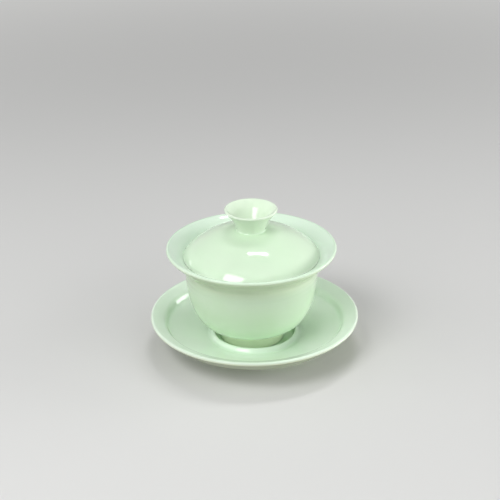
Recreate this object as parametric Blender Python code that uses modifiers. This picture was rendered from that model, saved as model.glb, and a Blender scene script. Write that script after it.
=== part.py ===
"""Gaiwan: a lidded porcelain tea bowl on its saucer, in metres, with +Z up.

The origin is on the table, on the saucer's axis. Each piece is one fired body that was thrown and turned on
a wheel, so each is an outline in the XZ plane, spun about the piece's own axis. An outline starts on the
axis on the piece's upper side, goes out to its rim, down its outer side and back to the axis underneath.
"""

import math

import bpy
from mathutils import Vector
from mathutils.geometry import interpolate_bezier

# Facets round each piece, and how finely its outline is drawn
TURN_STEPS = 48
ARC_STEP = 36.0
SHORT_CURVE = 8
LONG_CURVE = 12
SAME_POINT = 1e-5

# Pieces that rest on each other are this far apart
REST_GAP = 0.0003

# Saucer: a sloping flange, a dished floor, and a ridge round the well that takes the bowl's foot
SAUCER_RADIUS = 0.0608
SAUCER_LIP_HEIGHT = 0.0199
SAUCER_LIP_ROUND = 0.0011
FLANGE_RADIUS = 0.05265
FLANGE_HEIGHT = 0.0182
FLANGE_ROUND = 0.0036
FLOOR_RADIUS = 0.0506
FLOOR_HEIGHT = 0.0145
FLOOR_ROUND = 0.0022
FLOOR_LOW_RADIUS = 0.0271
FLOOR_LOW_HEIGHT = 0.0075
FLOOR_LOW_ROUND = 0.0020
RIDGE_RADIUS = 0.0240
RIDGE_HEIGHT = 0.0110
RIDGE_ROUND = 0.0010
WELL_RADIUS = 0.0226
WELL_HEIGHT = 0.0054
WELL_ROUND = 0.0014
UNDERSIDE_SLOPE = 42.0
UNDERSIDE_RADIUS = 0.0524
UNDERSIDE_ROUND = 0.0080
SAUCER_FOOT_RADIUS = 0.0320
SAUCER_FOOT_WIDTH = 0.0036
SAUCER_FOOT_HEIGHT = 0.0060
SAUCER_FOOT_TAPER = 0.0005
SAUCER_FOOT_ROUND = 0.0006
SAUCER_FOOT_TOP_ROUND = 0.0015
SAUCER_RECESS_HEIGHT = 0.0024
SAUCER_RECESS_ROUND = 0.0008

# Bowl: heights are above its own foot, and each curve's handles are offsets from its two ends
BOWL_OFFSET = -0.0014
BOWL_RADIUS = 0.0490
BOWL_LIP_HEIGHT = 0.0573
BOWL_LIP_ROUND = 0.0010
BOWL_LIP_END = -25.0
FLARE_ANGLE = 24.0
FLARE_INNER_LEAVE = (0.0, 0.0070)
FLARE_INNER_ARRIVE = (-0.0047, -0.0021)
FLARE_OUTER_LEAVE = (-0.00135, -0.0029)
FLARE_OUTER_ARRIVE = (0.0001, 0.0058)
NECK_RADIUS = 0.0384
NECK_HEIGHT = 0.0443
NECK_WALL = 0.0024
BELLY_LEAVE = (-0.00035, -0.01116)
BELLY_ARRIVE = (0.01077, 0.00553)
BELLY_LOW_RADIUS = 0.02575
BELLY_LOW_HEIGHT = 0.01047
TRIM_RADIUS = 0.0252
TRIM_HEIGHT = 0.0102
TRIM_ROUND = 0.0004
BOWL_FLOOR_HEIGHT = 0.0109
BOWL_FLOOR_LEAVE = (0.0310, -0.0002)
BOWL_FLOOR_ARRIVE = (0.0, -0.0298)
FOOT_RADIUS = 0.0188
FOOT_HEIGHT = 0.0095
FOOT_WALL = 0.0026
FOOT_TAPER = 0.0003
FOOT_ROUND = 0.0007
FOOT_RECESS_HEIGHT = 0.0069
FOOT_RECESS_RISE = 0.0003
FOOT_RECESS_ROUND = 0.0015

# Lid: heights are above its own edge, and it sits this far below the bowl's lip
LID_DROP = 0.0055
LID_RADIUS = 0.0391
LID_EDGE_HEIGHT = 0.00094
LID_EDGE_ROUND = 0.0006
LID_EDGE_SLOPE = 58.0
DOME_HEIGHT = 0.0166
DOME_WALL = 0.0027
DOME_LEAVE = (0.0130, -0.0012)
DOME_ARRIVE = (-0.0042, 0.0068)
HOLLOW_LEAVE = (-0.0046, 0.0060)
HOLLOW_ARRIVE = (0.0204, 0.0)
KNOB_BASE_RADIUS = 0.0083
KNOB_BASE_ROUND = 0.0009
KNOB_RADIUS = 0.0152
KNOB_LIP_HEIGHT = 0.0289
KNOB_LIP_ROUND = 0.0007
KNOB_LIP_START = 133.0
KNOB_LIP_END = -38.0
KNOB_OUTER_LEAVE = (-0.0025, -0.0026)
KNOB_OUTER_ARRIVE = (0.0014, 0.0050)
KNOB_WAIST_RADIUS = 0.0102
KNOB_WAIST_HEIGHT = 0.0258
KNOB_WAIST_ROUND = 0.0080
KNOB_FLOOR_RADIUS = 0.0054
KNOB_FLOOR_HEIGHT = 0.0196
KNOB_FLOOR_ROUND = 0.0018

# Glaze colours, linear
GLAZE_ROUGHNESS = 0.12
SAUCER_GLAZE = (0.73, 0.88, 0.72, 1.0)
BOWL_GLAZE = (0.69, 0.87, 0.64, 1.0)
LID_GLAZE = (0.68, 0.86, 0.66, 1.0)


def point_round(centre, radius, degrees):
    """The point of a circle at an angle from +X towards +Z."""
    turn = math.radians(degrees)
    return (centre[0] + radius * math.cos(turn), centre[1] + radius * math.sin(turn))


def arc(centre, radius, start, end):
    """A round stretch of an outline, between two angles in degrees."""
    steps = max(2, round(abs(end - start) / ARC_STEP))
    return [point_round(centre, radius, start + (end - start) * i / steps) for i in range(steps + 1)]


def curve(start, leave, arrive, end, points):
    """A free stretch of an outline: a cubic curve with a handle at each end, given as an offset from it."""
    first = Vector((*start, 0.0))
    last = Vector((*end, 0.0))
    handles = (first + Vector((*leave, 0.0)), last + Vector((*arrive, 0.0)))
    return [(point.x, point.y) for point in interpolate_bezier(first, *handles, last, points)]


def fillet(before, corner, after, radius):
    """The arc that rounds a corner between its two neighbours."""
    corner = Vector(corner)
    back = (Vector(before) - corner).normalized()
    ahead = (Vector(after) - corner).normalized()
    half = back.angle(ahead) / 2
    centre = corner + (back + ahead).normalized() * radius / math.sin(half)
    start = corner + back * radius / math.tan(half) - centre
    end = corner + ahead * radius / math.tan(half) - centre
    first = math.degrees(math.atan2(start.y, start.x))
    turn = (math.degrees(math.atan2(end.y, end.x)) - first + 180.0) % 360.0 - 180.0
    return arc(centre, radius, first, first + turn)


def rounded(corners):
    """A stretch of straight runs, with each inner corner rounded to its third number."""
    points = [corners[0][:2]]
    for before, corner, after in zip(corners, corners[1:], corners[2:]):
        points += fillet(before[:2], corner[:2], after[:2], corner[2])
    return points + [corners[-1][:2]]


def glaze(name, colour):
    """A glossy glaze of one colour."""
    material = bpy.data.materials.new(name)
    material.use_nodes = True
    shader = material.node_tree.nodes["Principled BSDF"]
    shader.inputs["Base Color"].default_value = colour
    shader.inputs["Roughness"].default_value = GLAZE_ROUGHNESS
    shader.inputs["Metallic"].default_value = 0.0
    return material


def turned(name, outline, material, location, parent=None):
    """An object made by spinning an outline about its own Z axis."""
    points = [outline[0]]
    for point in outline[1:]:
        if math.dist(point, points[-1]) > SAME_POINT:
            points.append(point)
    mesh = bpy.data.meshes.new(name)
    edges = [(i, i + 1) for i in range(len(points) - 1)]
    mesh.from_pydata([(radius, 0.0, height) for radius, height in points], edges, [])
    mesh.materials.append(material)
    piece = bpy.data.objects.new(name, mesh)
    screw = piece.modifiers.new("turn", "SCREW")
    screw.axis = "Z"
    screw.angle = math.tau
    screw.steps = TURN_STEPS
    screw.render_steps = TURN_STEPS
    screw.use_merge_vertices = True
    screw.merge_threshold = SAME_POINT
    screw.use_smooth_shade = True
    piece.location = location
    piece.parent = parent
    gaiwan.objects.link(piece)
    return piece


def saucer_outline():
    """Well, ridge, dished floor, flange and lip, then the sloping underside and the foot ring."""
    lip = (SAUCER_RADIUS - SAUCER_LIP_ROUND, SAUCER_LIP_HEIGHT)
    flange_rise = lip[1] + SAUCER_LIP_ROUND - FLANGE_HEIGHT
    lip_start = 90.0 + math.degrees(math.atan2(flange_rise, lip[0] - FLANGE_RADIUS))
    lip_end = UNDERSIDE_SLOPE - 90.0
    upper = rounded([
        (0.0, WELL_HEIGHT),
        (WELL_RADIUS, WELL_HEIGHT, WELL_ROUND),
        (RIDGE_RADIUS, RIDGE_HEIGHT, RIDGE_ROUND),
        (FLOOR_LOW_RADIUS, FLOOR_LOW_HEIGHT, FLOOR_LOW_ROUND),
        (FLOOR_RADIUS, FLOOR_HEIGHT, FLOOR_ROUND),
        (FLANGE_RADIUS, FLANGE_HEIGHT, FLANGE_ROUND),
        point_round(lip, SAUCER_LIP_ROUND, lip_start),
    ])
    lip_low = point_round(lip, SAUCER_LIP_ROUND, lip_end)
    underside_drop = (lip_low[0] - UNDERSIDE_RADIUS) * math.tan(math.radians(UNDERSIDE_SLOPE))
    foot_inner = SAUCER_FOOT_RADIUS - SAUCER_FOOT_WIDTH
    under = rounded([
        lip_low,
        (UNDERSIDE_RADIUS, lip_low[1] - underside_drop, UNDERSIDE_ROUND),
        (SAUCER_FOOT_RADIUS + SAUCER_FOOT_TAPER, SAUCER_FOOT_HEIGHT, SAUCER_FOOT_TOP_ROUND),
        (SAUCER_FOOT_RADIUS, 0.0, SAUCER_FOOT_ROUND),
        (foot_inner, 0.0, SAUCER_FOOT_ROUND),
        (foot_inner - SAUCER_FOOT_TAPER, SAUCER_RECESS_HEIGHT, SAUCER_RECESS_ROUND),
        (0.0, SAUCER_RECESS_HEIGHT),
    ])
    return upper + arc(lip, SAUCER_LIP_ROUND, lip_start, lip_end) + under


def bowl_outline():
    """Hollow, rolled lip, flare, neck and belly, then the trimmed step, the foot ring and its recess."""
    lip = (BOWL_RADIUS - BOWL_LIP_ROUND, BOWL_LIP_HEIGHT)
    lip_start = FLARE_ANGLE + 90.0
    lip_inner = point_round(lip, BOWL_LIP_ROUND, lip_start)
    lip_outer = point_round(lip, BOWL_LIP_ROUND, BOWL_LIP_END)
    floor = (0.0, BOWL_FLOOR_HEIGHT)
    neck_inner = (NECK_RADIUS - NECK_WALL, NECK_HEIGHT)
    neck_outer = (NECK_RADIUS, NECK_HEIGHT)
    belly_low = (BELLY_LOW_RADIUS, BELLY_LOW_HEIGHT)
    foot_inner = FOOT_RADIUS - FOOT_WALL
    foot = rounded([
        belly_low,
        (TRIM_RADIUS, TRIM_HEIGHT, TRIM_ROUND),
        (FOOT_RADIUS, FOOT_HEIGHT, FOOT_ROUND),
        (FOOT_RADIUS - FOOT_TAPER, 0.0, FOOT_ROUND),
        (foot_inner, 0.0, FOOT_ROUND),
        (foot_inner - FOOT_TAPER, FOOT_RECESS_HEIGHT, FOOT_RECESS_ROUND),
        (0.0, FOOT_RECESS_HEIGHT + FOOT_RECESS_RISE),
    ])
    return (
        curve(floor, BOWL_FLOOR_LEAVE, BOWL_FLOOR_ARRIVE, neck_inner, LONG_CURVE)
        + curve(neck_inner, FLARE_INNER_LEAVE, FLARE_INNER_ARRIVE, lip_inner, SHORT_CURVE)
        + arc(lip, BOWL_LIP_ROUND, lip_start, BOWL_LIP_END)
        + curve(lip_outer, FLARE_OUTER_LEAVE, FLARE_OUTER_ARRIVE, neck_outer, SHORT_CURVE)
        + curve(neck_outer, BELLY_LEAVE, BELLY_ARRIVE, belly_low, LONG_CURVE)
        + foot)


def lid_outline():
    """Hollow flared knob and dome, then the rounded edge and the hollow underside."""
    knob_lip = (KNOB_RADIUS - KNOB_LIP_ROUND, KNOB_LIP_HEIGHT)
    knob_inner = rounded([
        (0.0, KNOB_FLOOR_HEIGHT),
        (KNOB_FLOOR_RADIUS, KNOB_FLOOR_HEIGHT, KNOB_FLOOR_ROUND),
        (KNOB_WAIST_RADIUS, KNOB_WAIST_HEIGHT, KNOB_WAIST_ROUND),
        point_round(knob_lip, KNOB_LIP_ROUND, KNOB_LIP_START),
    ])
    knob_outer = point_round(knob_lip, KNOB_LIP_ROUND, KNOB_LIP_END)
    knob_base = (KNOB_BASE_RADIUS + KNOB_BASE_ROUND, DOME_HEIGHT + KNOB_BASE_ROUND)
    knob_foot = point_round(knob_base, KNOB_BASE_ROUND, 180.0)
    dome_top = point_round(knob_base, KNOB_BASE_ROUND, 270.0)
    edge = (LID_RADIUS - LID_EDGE_ROUND, LID_EDGE_HEIGHT)
    edge_start = 90.0 - LID_EDGE_SLOPE
    edge_end = -90.0 - LID_EDGE_SLOPE
    edge_outer = point_round(edge, LID_EDGE_ROUND, edge_start)
    edge_inner = point_round(edge, LID_EDGE_ROUND, edge_end)
    hollow_top = (0.0, DOME_HEIGHT - DOME_WALL)
    return (
        knob_inner
        + arc(knob_lip, KNOB_LIP_ROUND, KNOB_LIP_START, KNOB_LIP_END)
        + curve(knob_outer, KNOB_OUTER_LEAVE, KNOB_OUTER_ARRIVE, knob_foot, SHORT_CURVE)
        + arc(knob_base, KNOB_BASE_ROUND, 180.0, 270.0)
        + curve(dome_top, DOME_LEAVE, DOME_ARRIVE, edge_outer, LONG_CURVE)
        + arc(edge, LID_EDGE_ROUND, edge_start, edge_end)
        + curve(edge_inner, HOLLOW_LEAVE, HOLLOW_ARRIVE, hollow_top, LONG_CURVE))


for leftover in list(bpy.data.objects):
    bpy.data.objects.remove(leftover, do_unlink=True)
gaiwan = bpy.data.collections.new("gaiwan")
bpy.context.scene.collection.children.link(gaiwan)

# The bowl stands in the saucer's well and the lid in the bowl's flare, so each is carried by the one below
bowl_place = (BOWL_OFFSET, 0.0, WELL_HEIGHT + REST_GAP)
lid_place = (0.0, 0.0, BOWL_LIP_HEIGHT - LID_DROP)
saucer = turned("saucer", saucer_outline(), glaze("saucer_glaze", SAUCER_GLAZE), (0.0, 0.0, 0.0))
bowl = turned("bowl", bowl_outline(), glaze("bowl_glaze", BOWL_GLAZE), bowl_place, saucer)
lid = turned("lid", lid_outline(), glaze("lid_glaze", LID_GLAZE), lid_place, bowl)
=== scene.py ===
import math

import bmesh
import bpy
from mathutils import Matrix, Quaternion, Vector
from mathutils.geometry import interpolate_bezier


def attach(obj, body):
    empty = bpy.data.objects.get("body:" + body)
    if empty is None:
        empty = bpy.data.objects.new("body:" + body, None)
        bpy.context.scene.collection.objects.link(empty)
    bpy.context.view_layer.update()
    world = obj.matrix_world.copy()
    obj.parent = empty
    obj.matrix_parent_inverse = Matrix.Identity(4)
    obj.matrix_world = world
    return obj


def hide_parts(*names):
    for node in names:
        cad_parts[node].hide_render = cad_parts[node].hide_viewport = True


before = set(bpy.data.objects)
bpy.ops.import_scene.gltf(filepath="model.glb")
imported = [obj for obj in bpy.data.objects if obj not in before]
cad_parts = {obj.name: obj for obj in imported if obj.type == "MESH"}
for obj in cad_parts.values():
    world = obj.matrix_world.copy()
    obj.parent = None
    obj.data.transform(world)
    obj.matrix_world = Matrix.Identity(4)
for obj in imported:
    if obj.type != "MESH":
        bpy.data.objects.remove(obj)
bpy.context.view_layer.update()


# Saucer: a dished porcelain stand, thrown on the wheel, with a sloping flange, and a ridge round the sunk
# well that takes the bowl's foot. It was dipped in celadon glaze, and the flat of its foot ring was wiped
# bare before it was fired.
SAUCER_LIP = (0.0597, 0.0199)
SAUCER_LIP_ROUND = 0.0011
SAUCER_LIP_START = 112.7
SAUCER_LIP_END = -48.0
OUTLINE_STEP = 0.0009
TURN_STEPS = 180
ROUND_SEGMENTS = 8
SAME_POINT = 1e-6
POOL_REACH = 0.0006
UPPER_REACH = 0.0008

CELADON_THIN = (0.825, 0.94, 0.79)
CELADON_PALE = (0.735, 0.91, 0.71)
CELADON_BODY = (0.655, 0.875, 0.60)
CELADON_DEEP = (0.53, 0.74, 0.43)
# Paler and yellower than the glaze. It is partly a real flush where the glaze is thin, and partly painted
# warm light in the shade under a lip and round a foot.
FLUSH_AND_WARM_SHADE = (0.80, 0.945, 0.68)
BISCUIT = (0.80, 0.77, 0.70)
CLOUD_SCALE = 48.0
CLOUD_COAT = 0.22
SPECK_SCALE = 420.0
SPECK_COAT = 0.05
POOL_FULL = 0.6
POOL_COAT = 0.08
EDGE_START = -0.2
EDGE_FULL = -1.0
EDGE_THINNING = 0.25
RUN_AND_SHADE_FADE = 0.002
FLUSH_AND_SHADE_LOW_FADE = 0.0015
FLUSH_AND_SHADE_HIGH_FADE = 0.010
BARE_FADE = 0.0002
BARE_WANDER = 0.0004
PEEL_SCALE = 260.0
PEEL_HEIGHT = 0.00001
BARE_GRAIN = 4.0
GLOSSY = 0.045
CLOUD_DULL = 0.03
EDGE_DULL = 0.2
BARE_DULL = 0.5
GLAZE_IOR = 1.5
GLOW_SHARE = 0.3
GLOW_DEPTH = 0.002


def on_circle(centre, radius, degrees):
    """The point of a circle at an angle from the radius towards the height."""
    turn = math.radians(degrees)
    return (centre[0] + radius * math.cos(turn), centre[1] + radius * math.sin(turn))


def lip_corners(centre, radius, start, end):
    """The two rounded corners of an outline that make a lip, between two angles in degrees."""
    quarter = (end - start) / 4
    reach = radius / math.cos(math.radians(quarter))
    return [(*on_circle(centre, reach, degrees), radius) for degrees in (start + quarter, end - quarter)]


def turned(name, corners, axis_x):
    """A body of revolution about an upright axis, from its outline's corners: radius, height and rounding.

    Each point keeps how far the outline bends near it: hollows, where glaze gathers, are above 0, and edges,
    which it runs off, below. It also keeps whether it is on the upper side, inwards of the widest point.
    """
    bm = bmesh.new()
    pool = bm.verts.layers.float.new("pool")
    upper = bm.verts.layers.float.new("upper")
    wire = [bm.verts.new((radius, 0.0, height)) for radius, height, rounding in corners]
    for near, far in zip(wire, wire[1:]):
        bm.edges.new((near, far))
    bevels = []
    for before, corner, after, (radius, height, rounding) in zip(wire, wire[1:], wire[2:], corners[1:]):
        if rounding:
            half = (before.co - corner.co).angle(after.co - corner.co) / 2
            bevels.append((corner, rounding / math.tan(half)))
    for corner, offset in bevels:
        bmesh.ops.bevel(
            bm, geom=[corner], offset=offset, offset_type="OFFSET", segments=ROUND_SEGMENTS, profile=0.5,
            affect="VERTICES", material=-1)
    bmesh.ops.remove_doubles(bm, verts=bm.verts, dist=SAME_POINT)
    for edge in list(bm.edges):
        cuts = int(edge.calc_length() / OUTLINE_STEP)
        if cuts:
            bmesh.ops.subdivide_edges(bm, edges=[edge], cuts=cuts)
    walk = [max((v for v in bm.verts if len(v.link_edges) == 1), key=lambda v: v.co.z)]
    edge = None
    while edge is None or len(walk[-1].link_edges) == 2:
        edge = next(onward for onward in walk[-1].link_edges if onward is not edge)
        walk.append(edge.other_vert(walk[-1]))
    along = [0.0]
    for near, far in zip(walk, walk[1:]):
        along.append(along[-1] + (far.co - near.co).length)
    turns = [0.0]
    for before, corner, after in zip(walk, walk[1:], walk[2:]):
        turns.append((corner.co - before.co).xz.angle_signed((after.co - corner.co).xz) * -1.0)
    turns.append(0.0)
    rim = max(zip(walk, along), key=lambda place: place[0].co.x)[1]
    for point, here in zip(walk, along):
        point[upper] = 0.5 + 0.5 * math.tanh((rim - here) / UPPER_REACH)
        point[pool] = sum(
            turn * math.exp(-0.5 * ((here - there) / POOL_REACH) ** 2) for turn, there in zip(turns, along))
    bmesh.ops.spin(
        bm, geom=bm.verts[:] + bm.edges[:], cent=(0.0, 0.0, 0.0), axis=(0.0, 0.0, 1.0), angle=math.tau,
        steps=TURN_STEPS, use_merge=True)
    bmesh.ops.remove_doubles(bm, verts=bm.verts, dist=SAME_POINT)
    bmesh.ops.recalc_face_normals(bm, faces=bm.faces)
    bmesh.ops.translate(bm, verts=bm.verts, vec=(axis_x, 0.0, 0.0))
    for face in bm.faces:
        face.smooth = True
    mesh = bpy.data.meshes.new(name)
    bm.to_mesh(mesh)
    bm.free()
    piece = bpy.data.objects.new(name, mesh)
    bpy.context.scene.collection.objects.link(piece)
    return piece


class Wire:
    """An output of a material's nodes. Arithmetic on it adds Math nodes, and add makes any other node."""

    def __init__(self, tree, output=None):
        self.tree = tree
        self.output = output

    def add(self, kind, settings=None, sockets=None, output=0):
        node = self.tree.nodes.new(kind)
        for key, value in (settings or {}).items():
            if key == "stops":
                for place, colour in value[1:-1]:
                    node.color_ramp.elements.new(place)
                for element, (place, colour) in zip(node.color_ramp.elements, value):
                    element.position = place
                    element.color = (*colour, 1.0)
            else:
                setattr(node, key, value)
        for key, value in (sockets or {}).items():
            if isinstance(value, Wire):
                self.tree.links.new(value.output, node.inputs[key])
            else:
                node.inputs[key].default_value = value
        return Wire(self.tree, node.outputs[output] if node.outputs else None)

    def maths(self, operation, *values):
        return self.add("ShaderNodeMath", {"operation": operation}, dict(enumerate(values)))

    def __add__(self, other):
        return self.maths("ADD", self, other)

    def __radd__(self, other):
        return self.maths("ADD", other, self)

    def __sub__(self, other):
        return self.maths("SUBTRACT", self, other)

    def __rsub__(self, other):
        return self.maths("SUBTRACT", other, self)

    def __mul__(self, other):
        return self.maths("MULTIPLY", self, other)

    def __rmul__(self, other):
        return self.maths("MULTIPLY", other, self)


def fade(value, start, full, most=1.0, easing="SMOOTHSTEP"):
    """0 where a value is at or before start, rising to most where it is at full or past it."""
    return value.add(
        "ShaderNodeMapRange", {"clamp": True, "interpolation_type": easing},
        {"Value": value, "From Min": start, "From Max": full, "To Min": 0.0, "To Max": most})


def blended(factor, below, above, blend_type="MIX"):
    """The colour that goes from below to above as factor goes from 0 to 1. One of the three is an output."""
    wire = next(value for value in (factor, below, above) if isinstance(value, Wire))
    colours = [value if isinstance(value, Wire) else (*value, 1.0) for value in (below, above)]
    return wire.add(
        "ShaderNodeMix", {"data_type": "RGBA", "blend_type": blend_type},
        {"Factor": factor, "A": colours[0], "B": colours[1]}, output="Result")


def celadon(
        name, coat_and_painted_light, upper_tint_and_shade, outer_tint_and_warm_shade, run_and_shade=0.0, run_and_shade_below=0.0, bare_below=0.0, outer_coat=0.0,
        rim_coat_and_shade=0.0, flush_and_shade_below=0.0, flush_and_shade_above=1.0):
    """Celadon glaze on porcelain, coloured by the thickness of its coat, with bare clay below a height.

    The coat is thicker where it ran down below a height, in hollows and, by outer_coat, on the outer side.
    It changes by a given amount on edges of the upper side, and thins on those of the outer side. A warm
    flush shows on the outer side below one height and above another, and each side has a tint. On some
    pieces these also paint light and shade: a paler coat, a deeper coat low down or on a lip, a flush that
    is partly painted warm light in the shade, and a tint that is painted shade.
    """
    material = bpy.data.materials.new(name)
    material.use_nodes = True
    tree = material.node_tree
    tree.nodes.clear()
    start = Wire(tree)
    place = start.add("ShaderNodeTexCoord", output="Object")
    height = start.add("ShaderNodeSeparateXYZ", sockets={"Vector": place}, output="Z")
    pool = start.add("ShaderNodeAttribute", {"attribute_name": "pool"}, output="Fac")
    upper = start.add("ShaderNodeAttribute", {"attribute_name": "upper"}, output="Fac")
    outer = 1.0 - upper
    cloud = start.add(
        "ShaderNodeTexNoise",
        sockets={"Vector": place, "Scale": CLOUD_SCALE, "Detail": 3.0, "Roughness": 0.5})
    speck = start.add(
        "ShaderNodeTexNoise",
        sockets={"Vector": place, "Scale": SPECK_SCALE, "Detail": 2.0, "Roughness": 0.6})
    peel = start.add("ShaderNodeTexNoise", sockets={"Vector": place, "Scale": PEEL_SCALE, "Detail": 1.0})
    # Below the given height the coat is deeper. On the saucer this is partly painted shade, in the well and
    # round the foot.
    ran_and_shaded = fade(height, run_and_shade_below, run_and_shade_below - RUN_AND_SHADE_FADE, run_and_shade)
    gathered = fade(pool, 0.0, POOL_FULL, POOL_COAT, "LINEAR")
    edge = fade(pool, EDGE_START, EDGE_FULL, 1.0, "LINEAR")
    # The base coat is partly painted light: the saucer's is made thinner and paler than the bowl's.
    thickness_and_painted_light = coat_and_painted_light + gathered + ran_and_shaded + outer * outer_coat
    thickness_and_painted_light = thickness_and_painted_light + (cloud - 0.5) * CLOUD_COAT + (speck - 0.5) * SPECK_COAT
    # On the bowl, the edges of the upper side get deeper glaze, which is painted shade on its lip.
    thickness_and_painted_light = thickness_and_painted_light + edge * (upper * rim_coat_and_shade - outer * EDGE_THINNING)
    glaze_and_painted_light = start.add(
        "ShaderNodeValToRGB",
        {"stops": [(0.0, CELADON_THIN), (0.35, CELADON_PALE), (0.60, CELADON_BODY), (1.0, CELADON_DEEP)]},
        {"Fac": thickness_and_painted_light})
    # A side's tint can be painted shade, such as the lid's darker top and the saucer's cream underside.
    tinted_and_shaded = blended(1.0, glaze_and_painted_light, blended(upper, outer_tint_and_warm_shade, upper_tint_and_shade), "MULTIPLY")
    # The flush is partly painted warm light in the shade.
    flush_and_shade_low = fade(height, flush_and_shade_below, flush_and_shade_below - FLUSH_AND_SHADE_LOW_FADE)
    flush_and_shade_high = fade(height, flush_and_shade_above, flush_and_shade_above + FLUSH_AND_SHADE_HIGH_FADE)
    flushed_and_shaded = blended((flush_and_shade_low + flush_and_shade_high) * outer, tinted_and_shaded, FLUSH_AND_WARM_SHADE)
    bare_edge = height + (speck - 0.5) * BARE_WANDER
    bare = fade(bare_edge, bare_below + BARE_FADE, bare_below, 1.0, "LINEAR")
    colour = blended(bare, flushed_and_shaded, BISCUIT)
    bump = start.add(
        "ShaderNodeBump",
        sockets={"Strength": 1.0, "Distance": PEEL_HEIGHT, "Height": peel + bare * speck * BARE_GRAIN})
    roughness = GLOSSY + cloud * CLOUD_DULL + edge * EDGE_DULL + bare * BARE_DULL
    surface = start.add(
        "ShaderNodeBsdfPrincipled", sockets={
            "Base Color": colour, "Roughness": roughness, "Normal": bump, "IOR": GLAZE_IOR,
            "Subsurface Weight": GLOW_SHARE, "Subsurface Radius": (1.0, 1.0, 1.0),
            "Subsurface Scale": GLOW_DEPTH})
    start.add("ShaderNodeOutputMaterial", sockets={"Surface": surface})
    return material


saucer = turned("saucer_glazed", [
    # The sunk well and the ridge round it.
    (0.0, 0.0054, 0.0),
    (0.0226, 0.0054, 0.0014),
    (0.0240, 0.0110, 0.0010),
    (0.0271, 0.0075, 0.0020),
    # The dished floor, the step up to the flange, and its lip.
    (0.0506, 0.0145, 0.0022),
    (0.05265, 0.0182, 0.0036),
    *lip_corners(SAUCER_LIP, SAUCER_LIP_ROUND, SAUCER_LIP_START, SAUCER_LIP_END),
    # The underside, and the foot ring round its recess.
    (0.0524, 0.0119, 0.0080),
    (0.0325, 0.0060, 0.0015),
    (0.0320, 0.0, 0.0006),
    (0.0284, 0.0, 0.0006),
    (0.0279, 0.0024, 0.0008),
    (0.0, 0.0024, 0.0),
], 0.0)
# The saucer's glaze is painted paler than the bowl's, which stands in for light. Below a height, in the well
# and round the foot, it is deeper: this is partly glaze that ran and partly painted shade. The cream tint
# underneath is painted warm shade.
saucer.data.materials.append(celadon(
    "saucer_celadon", coat_and_painted_light=0.11, upper_tint_and_shade=(0.985, 1.005, 1.02), outer_tint_and_warm_shade=(1.0, 0.98, 0.82),
    run_and_shade=0.40, run_and_shade_below=0.0078, bare_below=0.0003))
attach(saucer, "saucer")
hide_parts("saucer")


# Bowl: a thrown porcelain cup with a flared, rolled lip, a full belly and a turned foot ring that stands
# loose in the saucer's well. The same glaze lies thicker on its outside, and thins to a warm flush on the
# foot and under the lip, where the faint rings of throwing still show. That flush is also painted light,
# paler and yellower than the glaze, for the warm light in the shade there. The deeper glaze on the top
# and inside of the lip is painted shade.
BOWL_X = -0.0014
BOWL_BASE = 0.0057
BOWL_LIP_ROUND = 0.0010
BOWL_LIP_START = 114.0
BOWL_LIP_END = -25.0
RING_PITCH = 0.0031
RING_DEPTH = 0.00003
RINGS_LOW = BOWL_BASE + 0.0350
RINGS_HIGH = BOWL_BASE + 0.0530


def drawn(start, leave, arrive, end, points):
    """Unrounded corners along a cubic curve, with a handle at each end, given as an offset from it."""
    first = Vector((*start, 0.0))
    last = Vector((*end, 0.0))
    handles = (first + Vector((*leave, 0.0)), last + Vector((*arrive, 0.0)))
    return [(point.x, point.y, 0.0) for point in interpolate_bezier(first, *handles, last, points)]


def ringed(outline):
    """The same outline with the faint rings of throwing between two heights, which fade out towards both."""
    middle = (RINGS_LOW + RINGS_HIGH) / 2
    half = (RINGS_HIGH - RINGS_LOW) / 2
    rings = []
    for radius, height, rounding in outline:
        faded = max(0.0, 1.0 - ((height - middle) / half) ** 2)
        swell = RING_DEPTH * faded * math.sin(math.tau * height / RING_PITCH)
        rings.append((radius + swell, height, rounding))
    return rings


bowl_lip = (0.0480, BOWL_BASE + 0.0573)
bowl_lip_inner = on_circle(bowl_lip, BOWL_LIP_ROUND, BOWL_LIP_START)
bowl_lip_outer = on_circle(bowl_lip, BOWL_LIP_ROUND, BOWL_LIP_END)
hollow_low = (0.0, BOWL_BASE + 0.0109)
neck_inner = (0.0360, BOWL_BASE + 0.0443)
neck_outer = (0.0384, BOWL_BASE + 0.0443)
belly_low = (0.02575, BOWL_BASE + 0.01047)
hollow = drawn(hollow_low, (0.0310, -0.0002), (0.0, -0.0298), neck_inner, points=60)
flare_inner = drawn(neck_inner, (0.0, 0.0070), (-0.0047, -0.0021), bowl_lip_inner, points=24)
flare_outer = drawn(bowl_lip_outer, (-0.00135, -0.0029), (0.0001, 0.0058), neck_outer, points=40)
belly = drawn(neck_outer, (-0.00035, -0.01116), (0.01077, 0.00553), belly_low, points=80)
bowl = turned("bowl_glazed", [
    *hollow,
    *flare_inner,
    *lip_corners(bowl_lip, BOWL_LIP_ROUND, BOWL_LIP_START, BOWL_LIP_END),
    *ringed(flare_outer[:-1] + belly),
    # The foot ring and the recess inside it.
    (0.0252, BOWL_BASE + 0.0102, 0.0004),
    (0.0188, BOWL_BASE + 0.0095, 0.0007),
    (0.0185, BOWL_BASE, 0.0007),
    (0.0162, BOWL_BASE, 0.0007),
    (0.0159, BOWL_BASE + 0.0069, 0.0015),
    (0.0, BOWL_BASE + 0.0072, 0.0),
], BOWL_X)
# Its flush is partly painted warm light in the shade, and the deeper glaze on its lip is painted shade.
bowl.data.materials.append(celadon(
    "bowl_celadon", coat_and_painted_light=0.26, upper_tint_and_shade=(1.0, 1.0, 1.05), outer_tint_and_warm_shade=(1.0, 1.0, 0.98),
    bare_below=BOWL_BASE + 0.0004, outer_coat=0.18, rim_coat_and_shade=0.18, flush_and_shade_below=BOWL_BASE + 0.0104,
    flush_and_shade_above=BOWL_BASE + 0.0400))
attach(bowl, "bowl")
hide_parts("bowl")


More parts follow.
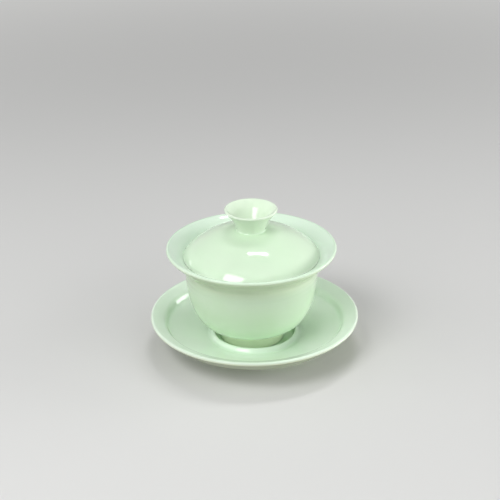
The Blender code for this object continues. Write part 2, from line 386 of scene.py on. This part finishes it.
# Lid: a shallow thrown porcelain dome that sits inside the bowl's flare, with a hollow flared knob luted on
# before both were glazed. Only its weight holds it, and the glaze ran down from the knob.
LID_BASE = BOWL_BASE + 0.0518
KNOB_LIP_ROUND = 0.0007
KNOB_LIP_START = 133.0
KNOB_LIP_END = -38.0
KNOB_ROOT_ROUND = 0.0009
LID_EDGE_ROUND = 0.0003
LID_EDGE_START = 32.0
LID_EDGE_END = -148.0
knob_lip = (0.0145, LID_BASE + 0.0289)
knob_lip_outer = on_circle(knob_lip, KNOB_LIP_ROUND, KNOB_LIP_END)
knob_root = (0.0092, LID_BASE + 0.0175)
knob_end = on_circle(knob_root, KNOB_ROOT_ROUND, 180.0)
dome_start = on_circle(knob_root, KNOB_ROOT_ROUND, 270.0)
lid_edge = (0.0390, LID_BASE + 0.00072)
dome_end = on_circle(lid_edge, LID_EDGE_ROUND, LID_EDGE_START)
under_start = on_circle(lid_edge, LID_EDGE_ROUND, LID_EDGE_END)
under_middle = (0.0, LID_BASE + 0.0139)
knob_side = drawn(knob_lip_outer, (-0.0025, -0.0026), (0.0014, 0.0050), knob_end, points=24)
dome = drawn(dome_start, (0.0130, -0.0012), (-0.0043, 0.0069), dome_end, points=50)
dome_under = drawn(under_start, (-0.0046, 0.0060), (0.0204, 0.0), under_middle, points=50)
lid = turned("lid_glazed", [
    # The knob's hollow, lip and side, down to where it is luted on.
    (0.0, LID_BASE + 0.0196, 0.0),
    (0.0054, LID_BASE + 0.0196, 0.0018),
    (0.0102, LID_BASE + 0.0258, 0.0080),
    *lip_corners(knob_lip, KNOB_LIP_ROUND, KNOB_LIP_START, KNOB_LIP_END),
    *knob_side,
    (0.0083, LID_BASE + 0.0166, KNOB_ROOT_ROUND),
    # The dome, its edge and its underside.
    *dome,
    *lip_corners(lid_edge, LID_EDGE_ROUND, LID_EDGE_START, LID_EDGE_END),
    *dome_under,
], BOWL_X)
# The darker tint over the lid's top is painted shade; its glaze is the bowl's.
lid.data.materials.append(celadon(
    "lid_celadon", coat_and_painted_light=0.0, upper_tint_and_shade=(0.91, 0.94, 0.895), outer_tint_and_warm_shade=(1.0, 1.0, 1.0),
    run_and_shade=0.26, run_and_shade_below=LID_BASE + 0.0182, rim_coat_and_shade=-0.25))
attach(lid, "lid")
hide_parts("lid")


# Table top: a plain painted surface, pale grey to the eye, which throws only a little light back on the
# pieces. It is wide enough to fill the view from any side, and its far end fades into the pale room.
TABLE_HALF = 4.0
TABLE_PALE = (0.72, 0.72, 0.71)
TABLE_BOUNCE = (0.30, 0.30, 0.30)
HAZE = (0.62, 0.62, 0.61)
HAZE_START = 0.3
HAZE_FULL = 1.1


def seen_by_eye(start):
    """1 for rays that show the background, straight or in a reflection, and 0 for rays that carry light."""
    rays = ("Is Camera Ray", "Is Glossy Ray", "Is Transmission Ray")
    return sum(start.add("ShaderNodeLightPath", output=ray) for ray in rays)


bm = bmesh.new()
bmesh.ops.create_grid(bm, x_segments=1, y_segments=1, size=TABLE_HALF)
table_mesh = bpy.data.meshes.new("table_top")
bm.to_mesh(table_mesh)
bm.free()
table = bpy.data.objects.new("table_top", table_mesh)
bpy.context.scene.collection.objects.link(table)
table_paint = bpy.data.materials.new("table_paint")
table_paint.use_nodes = True
table_paint.node_tree.nodes.clear()
table_start = Wire(table_paint.node_tree)
seen = seen_by_eye(table_start)
table_shader = table_start.add("ShaderNodeBsdfPrincipled", sockets={
    "Base Color": blended(seen, TABLE_BOUNCE, TABLE_PALE), "Roughness": 0.7, "Specular IOR Level": 0.2})
table_place = table_start.add("ShaderNodeTexCoord", output="Object")
table_reach = table_start.add(
    "ShaderNodeVectorMath", {"operation": "LENGTH"}, {0: table_place}, output="Value")
far_off = fade(table_reach, HAZE_START, HAZE_FULL)
haze = table_start.add("ShaderNodeEmission", sockets={"Color": (*HAZE, 1.0), "Strength": 1.0})
table_look = table_start.add("ShaderNodeMixShader", sockets={0: far_off * seen, 1: table_shader, 2: haze})
table_start.add("ShaderNodeOutputMaterial", sockets={"Surface": table_look})
table_mesh.materials.append(table_paint)


# Studio: a soft key from the front left, a narrow softbox overhead, and others above and on both sides that
# fill the shadows. All are white panels on stands, 1 m off, in a room that looks pale behind the table but
# adds little light.
MIDDLE = Vector((0.0, 0.0, 0.045))
ROOM_DIM = (0.049, 0.05, 0.05)


def softbox(name, azimuth, elevation, width, height, watts, roll=0.0):
    """A rectangular soft light that faces the gaiwan; azimuth 0 is the front, and 90 the right."""
    turn = math.radians(azimuth)
    rise = math.radians(elevation)
    towards = Vector((math.sin(turn) * math.cos(rise), -math.cos(turn) * math.cos(rise), math.sin(rise)))
    rolled = Quaternion((0.0, 0.0, 1.0), math.radians(roll))
    light = bpy.data.lights.new(name, "AREA")
    light.shape = "RECTANGLE"
    light.size = width
    light.size_y = height
    light.energy = watts
    lamp = bpy.data.objects.new(name, light)
    lamp.location = MIDDLE + towards
    lamp.rotation_mode = "QUATERNION"
    lamp.rotation_quaternion = towards.to_track_quat("Z", "Y") @ rolled
    bpy.context.scene.collection.objects.link(lamp)


softbox("key", azimuth=-38.0, elevation=50.0, width=0.46, height=0.32, watts=3.7)
softbox("overhead", azimuth=159.0, elevation=74.0, width=0.32, height=0.08, watts=2.0, roll=21.0)
softbox("top_wide", azimuth=60.0, elevation=80.0, width=1.00, height=0.80, watts=0.9)
softbox("left_wide", azimuth=-60.0, elevation=24.0, width=1.20, height=0.60, watts=3.5)
softbox("left_low", azimuth=-100.0, elevation=16.0, width=1.00, height=0.06, watts=1.1)
softbox("back_left", azimuth=-118.0, elevation=36.0, width=1.80, height=1.20, watts=0.9)
softbox("right_low", azimuth=98.0, elevation=14.0, width=0.35, height=0.12, watts=0.9)
softbox("right_wide", azimuth=95.0, elevation=7.0, width=0.90, height=0.20, watts=4.9)
softbox("right_front", azimuth=45.0, elevation=26.0, width=1.00, height=0.60, watts=3.5)
room = bpy.data.worlds.new("room")
room.use_nodes = True
room.node_tree.nodes.clear()
room_start = Wire(room.node_tree)
room_colour = blended(seen_by_eye(room_start), ROOM_DIM, HAZE)
room_glow = room_start.add("ShaderNodeBackground", sockets={"Color": room_colour, "Strength": 1.0})
room_start.add("ShaderNodeOutputWorld", sockets={"Surface": room_glow})
bpy.context.scene.world = room


# Camera: about 0.75 m from the lid's front, as far off as the picture's perspective says, looking down on it
# with a long lens, and rolled a little.
PITCH = 0.44256
ROLL = -0.0124
AIM = Vector((-0.00217, 0.0, 0.06102))
DISTANCE = 0.74798
SENSOR_MM = 36.0
LENS_MM = 93.6
ahead = Vector((0.0, math.cos(PITCH), -math.sin(PITCH)))
level_up = Vector((0.0, math.sin(PITCH), math.cos(PITCH)))
right = Vector((math.cos(ROLL), 0.0, 0.0)) + level_up * math.sin(ROLL)
up = right.cross(ahead)
lens = bpy.data.cameras.new("camera")
lens.sensor_width = SENSOR_MM
lens.lens = LENS_MM
camera = bpy.data.objects.new("camera", lens)
camera.matrix_world = Matrix((right, up, -ahead)).transposed().to_4x4()
camera.location = AIM - ahead * DISTANCE
bpy.context.scene.collection.objects.link(camera)
bpy.context.scene.camera = camera
bpy.context.scene.view_settings.view_transform = "Standard"
